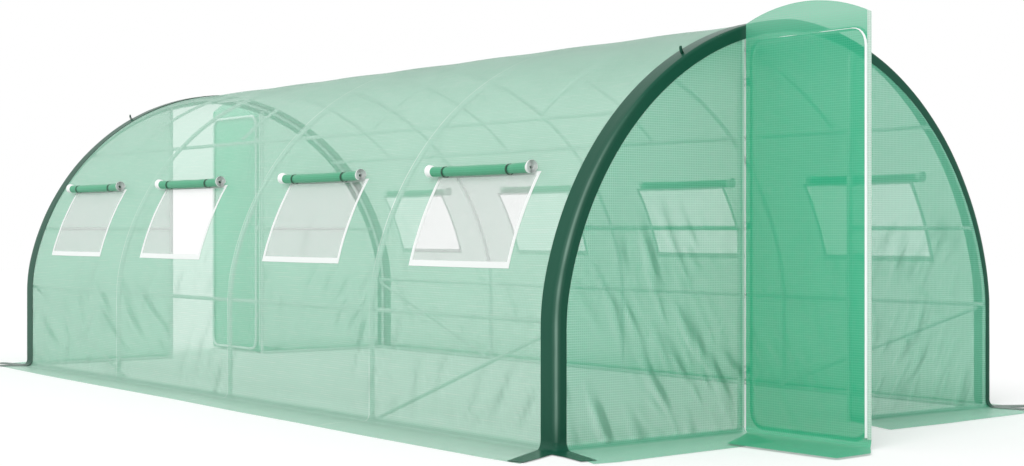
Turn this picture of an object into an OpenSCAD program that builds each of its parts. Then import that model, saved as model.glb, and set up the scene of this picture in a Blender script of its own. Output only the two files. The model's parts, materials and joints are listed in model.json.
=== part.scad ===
// Walk-in tunnel greenhouse: five bent tube hoops, length rails, a film cover with mesh windows
// and roll-up flaps, and one hinged, sheeted door leaf at each end. Millimetres, +Z up.
// The origin is the middle of the footprint on the ground. The front end faces -Y.

/* [Tunnel] */
// Length between the outer faces of the two end walls
tunnel_len = 6000; // [5800:50:6400]
// Width over the cover at the ground
tunnel_w = 3000; // [2900:20:3100]
// Height of the straight lower part of each side
leg_h = 531; // [500:1:600]
// Outside radius of the gentle bend above the straight leg
knee_r = 990; // [900:10:1100]
// Angle that this bend turns through
knee_turn = 13.2; // [10:0.1:16]
// Outside radius of the roof arcs
roof_r = 1590; // [1560:5:1640]
// Number of full hoops along the tunnel
hoop_count = 5; // [4:1:6]

/* [Frame tubes] */
// Diameter of the hoop tubes
hoop_d = 25; // [19:1:28]
// Diameter of the length rails
rail_d = 22; // [16:1:25]
// Height of the low side rail
low_rail_h = 560; // [540:5:600]
// Height of the cross rails in the end walls
cross_rail_h = 970; // [900:5:1000]
// Height of the upper side rail
upper_rail_h = 1500; // [1450:5:1550]
// Distance of each roof rib behind the hoop in front of it
rib_step = 700; // [500:10:1000]
// Diameter of the roof ribs and corner braces
rib_d = 19; // [12:1:22]

/* [Cover] */
// Modelled thickness of every sheet
sheet_t = 3; // [2:0.5:4]
// Width of the sleeve on the roof side of each end arch
sleeve_side = 105; // [60:5:120]
// Mean width of the sleeve on the end wall
sleeve_face = 45; // [40:5:80]

/* [Windows] */
// Width of a window opening
window_w = 800; // [600:10:900]
// Height of the lower edge of the window openings
window_low = 792; // [740:1:820]
// Height of the upper edge of the window openings
window_top = 1229; // [1150:1:1240]
// Diameter of a rolled-up window flap
roll_d = 54; // [40:1:70]
// Length of a rolled-up window flap
roll_len = 830; // [700:10:880]

/* [Doors] */
// Distance of the doorway's hinge side from the tunnel's middle
door_hinge_x = 361; // [340:1:380]
// Distance of the doorway's free side from the tunnel's middle
door_free_x = 385; // [360:5:400]
// Width of the leaf's sheet
leaf_w = 761; // [700:1:780]
// Height of the leaf's frame
leaf_frame_h = 1862; // [1800:2:1870]
// Height of the leaf's sheet at its arched top
leaf_h = 2001; // [1960:1:2010]
// Diameter of the leaf's frame tube
leaf_d = 20; // [16:1:22]
// Outside radius of the leaf frame's corners
leaf_corner_r = 90; // [60:5:120]

/* [Hidden] */
half_w = tunnel_w / 2;
front_y = -tunnel_len / 2;
bay = tunnel_len / (hoop_count - 1);
fit_gap = 0.3;
// reach of the tools that cut holes, past both faces of what they cut
cut = 10;
// centre of the side bend and of the roof arc on the right-hand side
knee_x = half_w - knee_r;
roof_x = knee_x - (roof_r - knee_r) * cos(knee_turn);
roof_z = leg_h - (roof_r - knee_r) * sin(knee_turn);
// angle, just past the ridge, at which each half of a roof tube stops before it is trimmed
arc_end = 95;
// couplers that join each hoop's roof arc to its legs
coupler_h = 60;
coupler_d = hoop_d + 3;
// inset of the hoops', of the rails' and of the ribs' centre lines from the cover's outer face
cover_gap = 3;
hoop_in = sheet_t + cover_gap + hoop_d / 2;
rail_in = hoop_in + hoop_d / 2 + rail_d / 2 + fit_gap;
rib_in = sheet_t + cover_gap + rib_d / 2;
rib_lap = 20;
wall_gap = 2;
end_hoop_y = front_y + sheet_t + wall_gap + hoop_d / 2;
// window centres of the left and of the right side, measured from the front end
left_windows = [793, 2257, 3827, 5239];
right_windows = [750, 2220, 3740, 5250];
roll_shift = 38;
roll_gap = 1;
roll_angle = 31.8;
loop_angle = 60;
// hinge axis of the front leaf, and the heights of its hinges
hinge_in = 8.5;
hinge_x = hinge_in - door_hinge_x;
hinge_gap = 20;
hinge_y = front_y - hinge_gap;
hinge_at = [300, 980, 1660];
pin_r = 5;
ear_r = 7;
knuckle_r = 9;
knuckle_h = 24;
ear_t = 4;
ear_gap = 0.5;
arm_t = 6;
post_in = 11;
hinge_post_x = door_hinge_x + post_in;
free_post_x = door_free_x + post_in;
leaf_start = 2;
leaf_lift = 5.5;
leaf_low = sheet_t + leaf_lift;
stile_s = 24;
arm_len = stile_s - leaf_d / 2 + 1;
leaf_top_r = 1000;
leaf_top_s = 360;
free_hem = 17;
frame_low = 25;
// tabs on the sleeves, and how far the doorway runs up behind the sleeve's face
loop_size = [40, 14, 4];
loop_in = 30;
lintel = 15;
// the face of the sleeve is this much wider on its left and at its top, and narrower on its right
face_shift = 10;
// outlines of the ground skirts and of the leaf's ground flap, seen from above
side_skirt = [[0, -3], [343, -190], [350, 80], [335, 1000], [310, 1700], [300, 2300], [262, 3200],
    [245, 4300], [225, 5100], [190, 5800], [170, 6080], [0, 6003]];
wide_skirt = [[0, 0], [116, 386], [0, 405], [-370, 382], [-746, 365], [-1000, 335], [-1134, 0]];
short_skirt = [[0, 0], [0, 258], [-100, 296], [-504, 319], [-768, 338], [-1227, 345],
    [-1180, 215], [-1110, 0]];
leaf_flap = [[4, 13], [250, 400], [900, 387], [884, 155], [763, 13]];

$fn = 32;
big_fn = 720;

// half width of the tunnel at height z, and height at half width x, both inset by d
function half_at(z, d) = z <= leg_h ? half_w - d
    : z <= leg_h + (knee_r - d) * sin(knee_turn) ? knee_x + sqrt(pow(knee_r - d, 2) - pow(z - leg_h, 2))
    : roof_x + sqrt(pow(roof_r - d, 2) - pow(z - roof_z, 2));
function top_at(x, d) = roof_z + sqrt(pow(roof_r - d, 2) - pow(abs(x) - roof_x, 2));

// turns the front end's pieces round to the back end
module at_back() {
    rotate([0, 0, 180]) children();
}

// points of an arc between two angles
function arc(c, r, from, to, n) = [for (i = [0:n]) c + r * [cos(from + (to - from) * i / n),
    sin(from + (to - from) * i / n)]];

// right half of the cross section's outline, from the ground to the ridge, inset by d
function half_outline(d) = concat([[half_w - d, 0]],
    arc([knee_x, leg_h], knee_r - d, 0, knee_turn, 4),
    arc([roof_x, roof_z], roof_r - d, knee_turn, acos(-roof_x / (roof_r - d)), 32));

// whole cross section, inset by d
module section(d) {
    right = half_outline(d);
    polygon(concat(right, [for (i = [len(right) - 2:-1:0]) [-right[i][0], right[i][1]]]));
}

// a wedge from the origin, opening between two angles
module wedge(from, to, r) {
    polygon([[0, 0], r * [cos(from), sin(from)], r * [cos(to), sin(to)]]);
}

// stands a flat outline up across the tunnel, from y to y + len
module across(y, len) {
    translate([0, y + len, 0]) rotate([90, 0, 0]) linear_extrude(len) children();
}

// half of a bent tube that follows the section, from angle a up to the ridge
module roof_arc(d, r, a) {
    translate([roof_x, 0, roof_z]) rotate([90, 0, 0]) rotate([0, 0, a])
        rotate_extrude(angle = arc_end - a, $fn = big_fn) translate([roof_r - d, 0]) circle(r, $fn = 32);
}

// leg with its bend, roof arc, and the coupler that joins them
module half_hoop() {
    translate([half_w - hoop_in, 0, 0]) cylinder(h = leg_h, d = hoop_d);
    translate([knee_x, 0, leg_h]) {
        rotate([90, 0, 0]) rotate_extrude(angle = knee_turn, $fn = big_fn)
            translate([knee_r - hoop_in, 0]) circle(d = hoop_d, $fn = 32);
        rotate([0, -knee_turn, 0]) translate([knee_r - hoop_in, 0, -coupler_h / 2])
            cylinder(h = coupler_h, d = coupler_d);
    }
    intersection() {
        roof_arc(hoop_in, hoop_d / 2, knee_turn + 0.02);
        translate([0, -hoop_d, 0]) cube([tunnel_w, 2 * hoop_d, tunnel_w]);
    }
}

module hoop(y) {
    color("gainsboro") translate([0, y, 0]) {
        half_hoop();
        mirror([1, 0, 0]) half_hoop();
    }
}

function hoop_y(i) = i == 1 ? end_hoop_y : i == hoop_count ? -end_hoop_y : front_y + (i - 1) * bay;

module half_rib() {
    start = asin((upper_rail_h + rib_lap - roof_z) / (roof_r - rib_in));
    intersection() {
        roof_arc(rib_in, rib_d / 2, start);
        translate([0, -rib_d, 0]) cube([tunnel_w, 2 * rib_d, tunnel_w]);
    }
}

module roof_rib(i) {
    color("gainsboro") translate([0, front_y + (i - 1) * bay + rib_step, 0]) {
        half_rib();
        mirror([1, 0, 0]) half_rib();
    }
}

// a tube along the tunnel from end hoop to end hoop
module rail(x, z) {
    color("gainsboro") translate([x, -rail_end(), z]) rotate([-90, 0, 0])
        cylinder(h = 2 * rail_end(), d = rail_d);
}
function rail_end() = tunnel_len / 2 - sheet_t - wall_gap;

module side_rail(side, z) {
    rail(side * half_at(z, rail_in), z);
}

module base_rail(side) {
    rail(side * (half_w - rail_in), rail_d / 2);
}

module door_posts() {
    color("gainsboro") for (x = [-hinge_post_x, free_post_x]) translate([x, end_hoop_y, 0])
        cylinder(h = top_at(abs(x) + hoop_d / 2, hoop_in + hoop_d / 2 + fit_gap), d = hoop_d);
}

// two tubes across the end at height z, from the door posts out to a distance from the middle
module end_rails(reach, z) {
    stop = hoop_d / 2 + fit_gap;
    color("gainsboro") for (x = [[-reach, -hinge_post_x - stop], [free_post_x + stop, reach]])
        translate([x[0], end_hoop_y, z]) rotate([0, 90, 0]) cylinder(h = x[1] - x[0], d = rail_d);
}

module end_base_rails() {
    end_rails(half_w - rail_in - rail_d / 2 - fit_gap, rail_d / 2);
}

module cross_rails() {
    end_rails(half_at(cross_rail_h + rail_d / 2, hoop_in + hoop_d / 2 + 1), cross_rail_h);
}

// a straight tube between two points
module strut(a, b, d) {
    v = b - a;
    translate(a) rotate([0, acos(v[2] / norm(v)), atan2(v[1], v[0])]) cylinder(h = norm(v), d = d);
}

// struts from the feet of the second hoops up to the low rails at the end hoops
module corner_braces() {
    x = half_w - rail_in - rail_d / 2 - rib_d / 2 - fit_gap;
    color("gainsboro") for (i = [0, 1], j = [0, 1]) mirror([i, 0, 0]) mirror([0, j, 0])
        strut([x, front_y + bay, rib_d], [x, front_y + 2 * rib_d, low_rail_h - rib_d], rib_d);
}

// one angular stretch of the roof skin, from inset d_out to inset d_in, right-hand side
module skin_panel(from, to, d_out, d_in, y, len) {
    across(y, len) intersection() {
        difference() {
            section(d_out);
            section(d_in);
        }
        translate([roof_x, roof_z]) wedge(from, to, 2 * roof_r);
    }
}

// places right-hand pieces at every window of one side: the left side is the right one turned round
module at_windows(side) {
    if (side > 0) for (at = right_windows) translate([0, front_y + at, 0]) children();
    else rotate([0, 0, 180]) for (at = left_windows) translate([0, -front_y - at, 0]) children();
}

module roof_cover() {
    low = asin((window_low - roof_z) / roof_r);
    top = asin((window_top - roof_z) / roof_r);
    color("mediumaquamarine") difference() {
        across(front_y, tunnel_len) difference() {
            section(0);
            section(sheet_t);
        }
        for (side = [-1, 1]) at_windows(side)
            skin_panel(low, top, -cut, sheet_t + cut, -window_w / 2, window_w);
    }
}

module screens(side) {
    edge = 0.02;
    low = asin((window_low - roof_z) / roof_r) + edge;
    top = asin((window_top - roof_z) / roof_r) - edge;
    color("lightgray") at_windows(side)
        skin_panel(low, top, 0, sheet_t, fit_gap - window_w / 2, window_w - 2 * fit_gap);
}

module rolls(side) {
    r = roof_r + roll_d / 2 + roll_gap;
    color("mediumseagreen") at_windows(side)
        translate([roof_x + r * cos(roll_angle), -roll_shift - roll_len / 2, roof_z + r * sin(roll_angle)])
            rotate([-90, 0, 0]) cylinder(h = roll_len, d = roll_d);
}

module end_wall() {
    color("mediumaquamarine") across(front_y, sheet_t) difference() {
        section(sheet_t + fit_gap);
        intersection() {
            translate([-door_hinge_x, -1]) square([door_hinge_x + door_free_x, 2 * half_w]);
            translate([0, -1]) section(sleeve_face + lintel);
        }
    }
}

// an angle strip over the corner edge between the cover and the end wall
module end_sleeve() {
    lift = sheet_t + fit_gap;
    color("darkslategray") difference() {
        union() {
            across(front_y - lift, lift + sleeve_side) difference() {
                section(-lift);
                section(-fit_gap);
            }
            across(front_y - lift, sheet_t) difference() {
                section(-lift);
                translate([face_shift, -face_shift]) section(sleeve_face);
            }
        }
        translate([-tunnel_w, -tunnel_len, -1]) cube([2 * tunnel_w, 2 * tunnel_len, lift + 1]);
    }
}

// webbing tabs that stand up from the sleeves, on the left side at each end
module tie_loops() {
    low = roof_r + sheet_t + 2 * fit_gap;
    color("darkslategray") mirror([1, 0, 0]) for (j = [0, 1]) mirror([0, j, 0])
        translate([roof_x, front_y + loop_in, roof_z]) rotate([0, -loop_angle, 0])
            translate([low, 0, -loop_size[2] / 2]) cube(loop_size);
}

module side_skirt() {
    color("cadetblue") linear_extrude(sheet_t)
        polygon([for (p = side_skirt) [-half_w - fit_gap - p[0], front_y + p[1]]]);
}

module end_skirts() {
    y = front_y - sheet_t - 2 * fit_gap;
    color("cadetblue") linear_extrude(sheet_t) {
        polygon([for (p = wide_skirt) [-half_w - p[0], y - p[1]]]);
        polygon([for (p = short_skirt) [half_w + p[0], y - p[1]]]);
    }
}

// stands a leaf's pieces at its hinge: X runs along the leaf and -Y is its outer face
module at_hinge() {
    translate([hinge_x, hinge_y, 0]) rotate([0, 0, -90]) children();
}

// pins held by two ears each, on arms from the door post
module door_hinges() {
    reach = end_hoop_y - hinge_y;
    pin_h = knuckle_h + 2 * (ear_t + 2 * ear_gap);
    color("silver") for (z = hinge_at) translate([hinge_x, hinge_y, z]) {
        translate([0, 0, -pin_h / 2]) cylinder(h = pin_h, r = pin_r);
        difference() {
            for (low = [-knuckle_h / 2 - ear_t - ear_gap, knuckle_h / 2 + ear_gap]) translate([0, 0, low]) {
                cylinder(h = ear_t, r = ear_r);
                translate([-ear_r, 0, 0]) cube([2 * ear_r, reach, ear_t]);
            }
            translate([-hinge_post_x - hinge_x, reach, -knuckle_h])
                cylinder(h = 2 * knuckle_h, d = hoop_d + 0.2);
        }
    }
}

// quarter bend of the leaf's frame, turned to start at angle a
module leaf_bend(x, z, a) {
    translate([x, 0, z]) rotate([90, 0, 0]) rotate([0, 0, a])
        rotate_extrude(angle = 90) translate([leaf_corner_r - leaf_d / 2, 0]) circle(d = leaf_d);
}

module door_frame() {
    left = stile_s - leaf_d / 2 + leaf_corner_r;
    right = leaf_start + leaf_w - free_hem - leaf_corner_r;
    low = frame_low + leaf_corner_r;
    top = leaf_frame_h - leaf_corner_r;
    r = leaf_corner_r - leaf_d / 2;
    color("whitesmoke") at_hinge() {
        for (x = [left - r, right + r]) translate([x, 0, low]) cylinder(h = top - low, d = leaf_d);
        for (z = [low - r, top + r]) translate([left, 0, z]) rotate([0, 90, 0])
            cylinder(h = right - left, d = leaf_d);
        leaf_bend(right, top, 0);
        leaf_bend(left, top, 90);
        leaf_bend(left, low, 180);
        leaf_bend(right, low, 270);
        for (z = hinge_at) difference() {
            union() {
                translate([0, 0, z - knuckle_h / 2]) cylinder(h = knuckle_h, r = knuckle_r);
                translate([0, -arm_t / 2, z - knuckle_h / 2]) cube([arm_len, arm_t, knuckle_h]);
            }
            translate([0, 0, z - knuckle_h]) cylinder(h = 2 * knuckle_h, r = pin_r + 0.1);
        }
    }
}

module door_sheet() {
    color("mediumseagreen") at_hinge() {
        translate([0, -leaf_d / 2 - 0.5, 0]) rotate([90, 0, 0]) linear_extrude(sheet_t) intersection() {
            translate([leaf_start, leaf_low]) square([leaf_w, leaf_h]);
            union() {
                translate([leaf_top_s, leaf_h - leaf_top_r]) circle(leaf_top_r, $fn = big_fn);
                square([2 * leaf_w, leaf_h - leaf_top_r]);
            }
        }
        translate([0, 0, leaf_low]) linear_extrude(sheet_t) polygon([for (p = leaf_flap) [p[0], -p[1]]]);
    }
}

hoop(hoop_y(1));  // hoop_1
hoop(hoop_y(2));  // hoop_2
hoop(hoop_y(3));  // hoop_3
hoop(hoop_y(4));  // hoop_4
hoop(hoop_y(5));  // hoop_5
roof_rib(1);  // roof_rib_1
roof_rib(2);  // roof_rib_2
roof_rib(3);  // roof_rib_3
roof_rib(4);  // roof_rib_4
rail(0, top_at(0, rail_in));  // ridge_rail
side_rail(-1, upper_rail_h);  // left_upper_rail
side_rail(1, upper_rail_h);  // right_upper_rail
cross_rails();  // front_cross_rails
at_back() cross_rails();  // back_cross_rails
side_rail(-1, low_rail_h);  // left_low_rail
side_rail(1, low_rail_h);  // right_low_rail
base_rail(-1);  // left_base_rail
base_rail(1);  // right_base_rail
door_posts();  // front_door_posts
at_back() door_posts();  // back_door_posts
end_base_rails();  // front_base_rails
at_back() end_base_rails();  // back_base_rails
corner_braces();
roof_cover();
end_wall();  // front_wall
at_back() end_wall();  // back_wall
end_sleeve();  // front_sleeve
at_back() end_sleeve();  // back_sleeve
tie_loops();
side_skirt();  // left_skirt
at_back() side_skirt();  // right_skirt
end_skirts();  // front_skirts
at_back() end_skirts();  // back_skirts
screens(-1);  // left_screens
screens(1);  // right_screens
rolls(-1);  // left_rolls
rolls(1);  // right_rolls
door_hinges();  // front_hinges
at_back() door_hinges();  // back_hinges
door_frame();  // front_door_frame
door_sheet();  // front_door_sheet
at_back() door_frame();  // back_door_frame
at_back() door_sheet();  // back_door_sheet
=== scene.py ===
import json
import math

import bpy
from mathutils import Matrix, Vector, noise


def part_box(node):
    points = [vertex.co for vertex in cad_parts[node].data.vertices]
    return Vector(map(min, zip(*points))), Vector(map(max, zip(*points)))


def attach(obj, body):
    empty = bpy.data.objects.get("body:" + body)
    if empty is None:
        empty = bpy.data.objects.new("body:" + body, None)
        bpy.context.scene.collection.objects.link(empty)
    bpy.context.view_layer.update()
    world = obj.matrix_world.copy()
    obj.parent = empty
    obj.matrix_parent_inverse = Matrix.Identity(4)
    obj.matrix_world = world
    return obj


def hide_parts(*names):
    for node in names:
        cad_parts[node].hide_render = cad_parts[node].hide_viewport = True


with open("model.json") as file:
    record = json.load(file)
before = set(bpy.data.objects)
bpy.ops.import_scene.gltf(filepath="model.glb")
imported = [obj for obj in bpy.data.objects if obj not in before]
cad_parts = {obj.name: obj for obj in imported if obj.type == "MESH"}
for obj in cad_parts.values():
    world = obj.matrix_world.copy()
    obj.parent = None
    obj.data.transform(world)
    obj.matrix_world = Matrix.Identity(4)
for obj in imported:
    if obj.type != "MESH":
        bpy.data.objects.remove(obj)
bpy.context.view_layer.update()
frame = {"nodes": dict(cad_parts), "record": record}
nodes = frame["nodes"]
scene = bpy.context.scene


# ---------------------------------------------------------------- studio
# A pale floor under an even white sky, one broad soft sun from the camera's left and a level
# camera in front of the near corner. Only the camera sees the floor's own glow, which is a
# little less behind film.
CAMERA_AT = (-6.097, -8.733, 0.959)
CAMERA_TURN = math.radians(-37.98)
LENS = 59.84
SHIFT = (-0.0216, -0.0026)
FLOOR_REACH = 60.0
FLOOR_GLOW = 0.30
FLOOR_GLOW_BEHIND = 0.24
SKY_LIGHT = 0.75
SUN_LIGHT = 1.36
SUN_WIDTH = math.radians(34)
SUN_TURN = (math.radians(48), 0, math.radians(-62))

camera = bpy.data.objects.new("camera", bpy.data.cameras.new("camera"))
camera.location = CAMERA_AT
camera.rotation_euler = (math.radians(90), 0, CAMERA_TURN)
camera.data.lens = LENS
camera.data.shift_x, camera.data.shift_y = SHIFT
camera.data.clip_end = 200
scene.collection.objects.link(camera)
scene.camera = camera
scene.view_settings.view_transform = "Standard"
scene.cycles.transparent_max_bounces = 24


def nodes_of(thing):
    """Clears a material's or the world's node tree and gives the tree back."""
    thing.use_nodes = True
    tree = thing.node_tree
    tree.nodes.clear()
    return tree


def add(tree, kind, inputs=None, **settings):
    """Adds a node; inputs maps a socket to a value or to another node's output."""
    node = tree.nodes.new(kind)
    for name, value in settings.items():
        setattr(node, name, value)
    for key, value in (inputs or {}).items():
        if isinstance(value, bpy.types.NodeSocket):
            tree.links.new(value, node.inputs[key])
        else:
            node.inputs[key].default_value = value
    return node


def worked(tree, operation, *values, clamp=False):
    """The result of a Math node that works on these values."""
    step = add(tree, "ShaderNodeMath", dict(enumerate(values)), operation=operation, use_clamp=clamp)
    return step.outputs[0]


world = bpy.data.worlds.new("studio")
scene.world = world
tree = nodes_of(world)
path = add(tree, "ShaderNodeLightPath")
seen = worked(tree, "MAXIMUM", path.outputs["Is Camera Ray"], path.outputs["Is Glossy Ray"])
seen = worked(tree, "MAXIMUM", seen, path.outputs["Is Transmission Ray"])
level = add(tree, "ShaderNodeMapRange", {0: seen, 3: SKY_LIGHT, 4: 1.0})
sky = add(tree, "ShaderNodeBackground", {"Color": (1, 1, 1, 1), "Strength": level.outputs[0]})
add(tree, "ShaderNodeOutputWorld", {"Surface": sky.outputs[0]})

sun = bpy.data.objects.new("sun", bpy.data.lights.new("sun", "SUN"))
sun.data.energy = SUN_LIGHT
sun.data.angle = SUN_WIDTH
sun.rotation_euler = SUN_TURN
scene.collection.objects.link(sun)

bpy.ops.object.select_all(action="DESELECT")
bpy.ops.mesh.primitive_plane_add(size=FLOOR_REACH)
floor = bpy.context.object
floor.name = "floor"
paper = bpy.data.materials.new("white_paper")
tree = nodes_of(paper)
path = add(tree, "ShaderNodeLightPath")
tone = add(tree, "ShaderNodeMapRange", {0: path.outputs["Is Camera Ray"], 3: 0.88, 4: 0.72})
matt = add(tree, "ShaderNodeBsdfDiffuse", {"Color": tone.outputs[0]})
lift = add(tree, "ShaderNodeMapRange",
           {0: path.outputs["Transparent Depth"], 1: 0.0, 2: 1.0, 3: FLOOR_GLOW, 4: FLOOR_GLOW_BEHIND})
lift = worked(tree, "MULTIPLY", path.outputs["Is Camera Ray"], lift.outputs[0])
glow = add(tree, "ShaderNodeEmission", {"Strength": lift})
both = add(tree, "ShaderNodeAddShader", {0: matt.outputs[0], 1: glow.outputs[0]})
add(tree, "ShaderNodeOutputMaterial", {"Surface": both.outputs[0]})
floor.data.materials.append(paper)


# ---------------------------------------------------------------- steel frame
# Zinc-coated tube: soft grey metal with faint spangle and rub marks. The hoops, ribs, rails,
# posts, braces, hinges and leaf frames keep their own solids and only take their finish here.
def group(name, inputs, outputs):
    """Starts a shader node group with float or vector inputs and float outputs."""
    made = bpy.data.node_groups.new(name, "ShaderNodeTree")
    for label, kind in inputs:
        made.interface.new_socket(label, in_out="INPUT", socket_type=kind)
    for label, kind in outputs:
        made.interface.new_socket(label, in_out="OUTPUT", socket_type=kind)
    return made, add(made, "NodeGroupInput"), add(made, "NodeGroupOutput")


def mottle_group():
    """Cloudy spangle and fine scratches along a tube, for every metal."""
    made, source, sink = group("zinc mottle", [("Scale", "NodeSocketFloat")],
                               [("Cloud", "NodeSocketFloat"), ("Scratch", "NodeSocketFloat")])
    place = add(made, "ShaderNodeTexCoord")
    cloud = add(made, "ShaderNodeTexNoise", {"Vector": place.outputs["Object"], "Scale": source.outputs[0],
                                             "Detail": 3.0, "Roughness": 0.6})
    long = add(made, "ShaderNodeMapping", {"Vector": place.outputs["Object"], "Scale": (90, 9, 90)})
    scratch = add(made, "ShaderNodeTexNoise", {"Vector": long.outputs[0], "Scale": 1.0, "Detail": 2.0})
    made.links.new(cloud.outputs[0], sink.inputs[0])
    made.links.new(scratch.outputs[0], sink.inputs[1])
    return made


MOTTLE = mottle_group()


def tinted(tree, share, base, colour):
    """The colour laid over the base by a share from 0 to 1."""
    return add(tree, "ShaderNodeMix", {0: share, 6: base, 7: (*colour, 1)}, data_type="RGBA").outputs[2]


def metal(name, colour, dark, metallic, roughness, scale):
    """Coated or bare steel with mottled colour and roughness."""
    made = bpy.data.materials.new(name)
    tree = nodes_of(made)
    mottle = add(tree, "ShaderNodeGroup", {}, node_tree=MOTTLE)
    mottle.inputs[0].default_value = scale
    tint = tinted(tree, mottle.outputs[0], (*dark, 1), colour)
    rough = add(tree, "ShaderNodeMapRange", {0: mottle.outputs[1], 3: roughness - 0.08, 4: roughness + 0.12})
    bump = add(tree, "ShaderNodeBump", {"Height": mottle.outputs[1], "Strength": 0.08, "Distance": 0.001})
    face = add(tree, "ShaderNodeBsdfPrincipled", {
        "Base Color": tint, "Roughness": rough.outputs[0], "Metallic": metallic, "Normal": bump.outputs[0]})
    add(tree, "ShaderNodeOutputMaterial", {"Surface": face.outputs[0]})
    return made


def finish_node(node, material):
    """Gives one of the frame's solids its material."""
    mesh = nodes[node].data
    mesh.materials.clear()
    mesh.materials.append(material)


galvanised = metal("galvanised_tube", (0.90, 0.92, 0.91), (0.74, 0.78, 0.77), metallic=0.12, roughness=0.36,
                   scale=30.0)
white_coat = metal("white_coat", (0.93, 0.94, 0.94), (0.86, 0.88, 0.88), metallic=0.0, roughness=0.35,
                   scale=12.0)
zinc_plate = metal("zinc_plate", (0.72, 0.73, 0.74), (0.55, 0.56, 0.58), metallic=0.7, roughness=0.38,
                   scale=60.0)
for node in nodes:
    if node.startswith(("hoop", "roof_rib")) or node.endswith(("rail", "rails", "posts", "braces")):
        finish_node(node, galvanised)
    elif node.endswith("hinges"):
        finish_node(node, zinc_plate)
    elif node.endswith("door_frame"):
        finish_node(node, white_coat)


# ---------------------------------------------------------------- roof cover
# One sheet of green film with a woven scrim inside it, laid over the hoops from ground to ground.
# At the foot it turns outwards in a soft bend and lies on the ground as a skirt. The eight window
# openings are cut through it, and it sags a little between the tubes.
LEG = 0.531
KNEE_R = 0.990
KNEE_TURN = math.radians(13.2)
ROOF_R = 1.590
HALF = 1.5
END = 3.0
KNEE_X = HALF - KNEE_R
ROOF_X = KNEE_X - (ROOF_R - KNEE_R) * math.cos(KNEE_TURN)
ROOF_Z = LEG - (ROOF_R - KNEE_R) * math.sin(KNEE_TURN)
KNEE_END = LEG + KNEE_R * KNEE_TURN
GIRTH = KNEE_END + ROOF_R * (math.acos(-ROOF_X / ROOF_R) - KNEE_TURN)
FILM = 0.0009
FOOT_R = 0.034
CELL = 0.032
INSIDE = (0, 0, 0.4)
ROOF_FROM = 1.36
SIDE_SAG = 0.007
ROOF_SAG = 0.004
SIDE_FOLD = 0.0070
SIDE_GREEN = (0.35, 0.69, 0.515)
# Painted light on the door film above its crown height, as if lit through from behind.
BACKLIT_PALE = (0.20, 0.54, 0.37)
# Colour of the painted highlight where the film lies over a hoop.
HOOP_HIGHLIGHT = (0.84, 0.96, 0.90)
# Colour of the painted highlight on the film's folds.
FOLD_HIGHLIGHT = (0.50, 0.84, 0.69)
SCRIM_PITCH = 0.011
HOOPS = (-2.98, -1.5, 0.0, 1.5, 2.98)
RIBS = (-2.3, -0.8, 0.7, 2.2)


def section(a, inset):
    """Point and outward direction on the right half of the tunnel's section, a metres up from the ground."""
    if a <= LEG:
        return Vector((HALF - inset, 0, a)), Vector((1, 0, 0))
    if a <= KNEE_END:
        turn = (a - LEG) / KNEE_R
        out = Vector((math.cos(turn), 0, math.sin(turn)))
        return Vector((KNEE_X, 0, LEG)) + out * (KNEE_R - inset), out
    turn = KNEE_TURN + (a - KNEE_END) / ROOF_R
    out = Vector((math.cos(turn), 0, math.sin(turn)))
    return Vector((ROOF_X, 0, ROOF_Z)) + out * (ROOF_R - inset), out


def girth_at(z):
    """How far along the section the height z is."""
    turn = math.asin((z - ROOF_Z) / ROOF_R)
    return KNEE_END + ROOF_R * (turn - KNEE_TURN)


def spans(node):
    """Where a node's separate solids, which lie in a row, begin and end along the tunnel."""
    ends = sorted({round(v.co.y, 4) for v in nodes[node].data.vertices})
    return list(zip(ends[::2], ends[1::2]))


def lines(low, high, step, *extra):
    """Even lines from low to high, with the extra ones in place of those that come too near them."""
    count = max(1, math.ceil((high - low) / step))
    even = [low + (high - low) * i / count for i in range(count + 1)]
    kept = [x for x in even[1:-1] if all(abs(x - e) > step * 0.4 for e in extra)]
    return sorted({even[0], even[-1], *kept, *extra})


def sheet_mesh(name, us, vs, place, gone=None):
    """A mesh over the lines us and vs; place gives each crossing's point, its place on the flat cloth
    and, where it has one, its shading mark, kept as the crease attribute: painted shade above 0 and a
    painted highlight below 0."""
    points, flats, marks = [], [], []
    for v in vs:
        for u in us:
            point, flat, *mark = place(u, v)
            points.append(point)
            flats.append(flat)
            marks.append(mark[0] if mark else 0.0)
    faces = []
    for j in range(len(vs) - 1):
        for i in range(len(us) - 1):
            if gone and gone((us[i] + us[i + 1]) / 2, (vs[j] + vs[j + 1]) / 2):
                continue
            a = j * len(us) + i
            faces.append((a, a + 1, a + 1 + len(us), a + len(us)))
    mesh = bpy.data.meshes.new(name)
    mesh.from_pydata(points, [], faces)
    cloth = mesh.uv_layers.new(name="cloth")
    for loop in mesh.loops:
        cloth.data[loop.index].uv = flats[loop.vertex_index]
    mesh.attributes.new("crease", "FLOAT", "POINT").data.foreach_set("value", marks)
    made = bpy.data.objects.new(name, mesh)
    scene.collection.objects.link(made)
    return made


def only(*objects):
    """Selects these objects and nothing else."""
    bpy.ops.object.select_all(action="DESELECT")
    for each in objects:
        each.select_set(True)
    bpy.context.view_layer.objects.active = objects[0]


def give_wall(made, thick, offset, smooth):
    """Gives a selected sheet its thickness and smooths it up to an angle in degrees."""
    wall = made.modifiers.new("wall", "SOLIDIFY")
    wall.thickness = thick
    wall.offset = offset
    bpy.ops.object.modifier_apply(modifier="wall")
    bpy.ops.object.shade_smooth_by_angle(angle=math.radians(smooth))


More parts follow.
